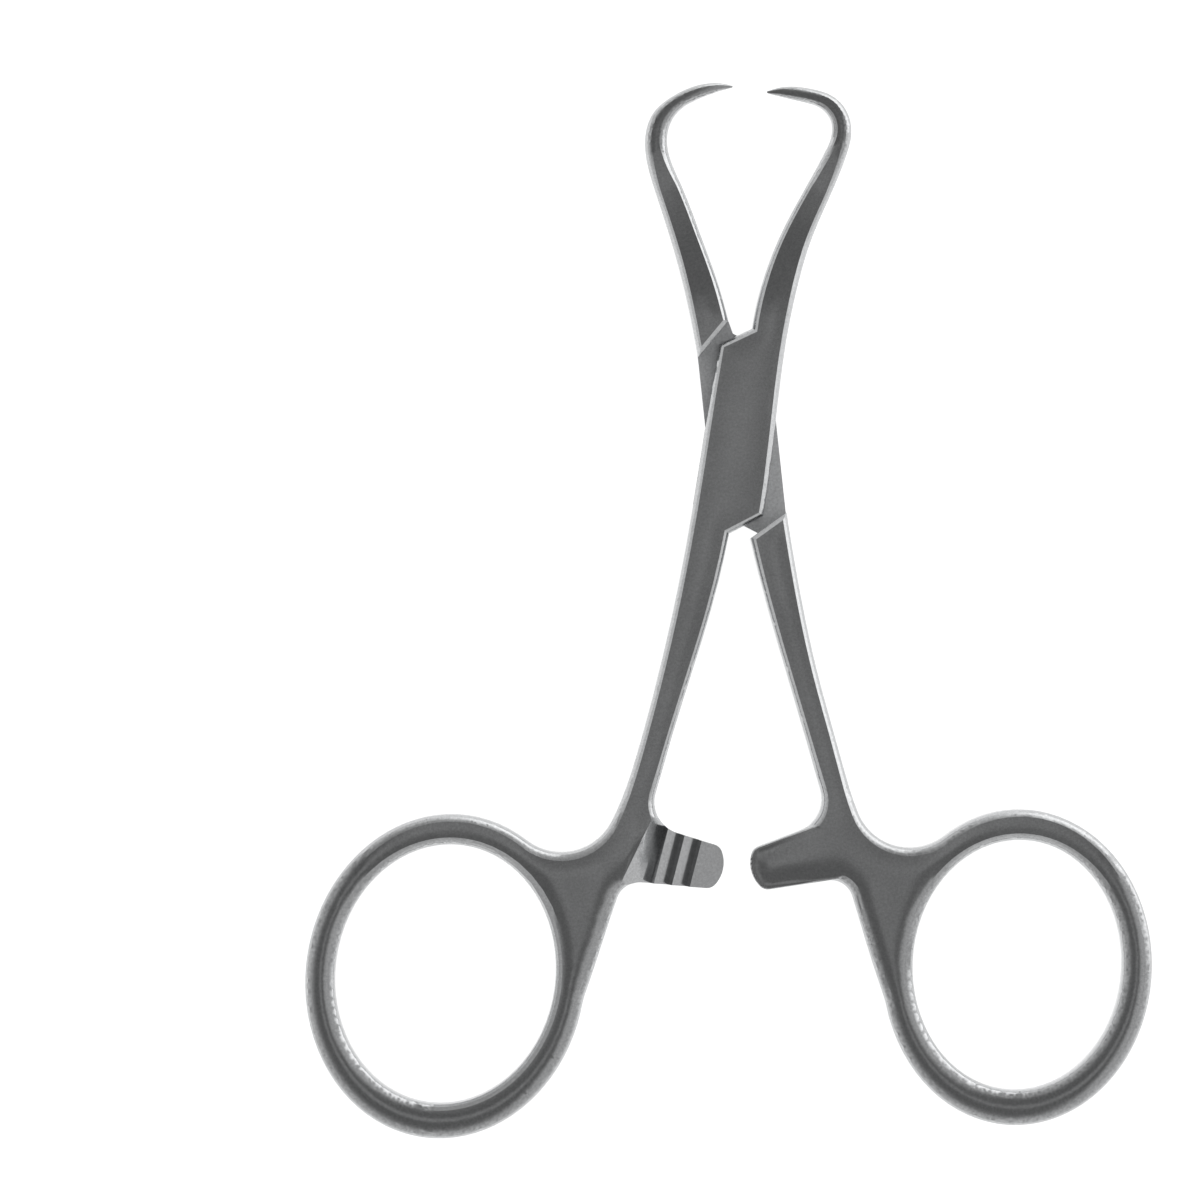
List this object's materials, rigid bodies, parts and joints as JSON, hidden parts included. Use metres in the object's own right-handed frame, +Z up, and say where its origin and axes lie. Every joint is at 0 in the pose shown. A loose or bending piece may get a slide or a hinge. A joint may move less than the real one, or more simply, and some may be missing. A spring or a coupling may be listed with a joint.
{
  "type": "towel clamp",
  "caption": "Box-lock towel clamp with curved sharp-pointed jaws, finger rings and toothed ratchet arms, in satin stainless steel.",
  "frame": {"origin": "on the pivot axis, in the plane of the box's underside that the clamp rests on", "axes": "+Y from the pivot to the jaw points, +X to the jaw of the box half, +Z up out of the face that the camera sees"},
  "size_m": [0.0724, 0.0907, 0.0042],
  "materials": {
    "satin_steel": "satin ground stainless steel"
  },
  "bodies": {
    "box_side": {"box_half": "satin_steel", "pivot_rivet": "satin_steel"},
    "tongue_side": {"tongue_half": "satin_steel"}
  },
  "joints": [
    {"name": "box_lock", "type": "hinge", "parent": "box_side", "child": "tongue_side", "pos_m": [0, 0, 0.0021], "axis": [0, 0, 1], "range_deg": [-6, 114]}
  ]
}
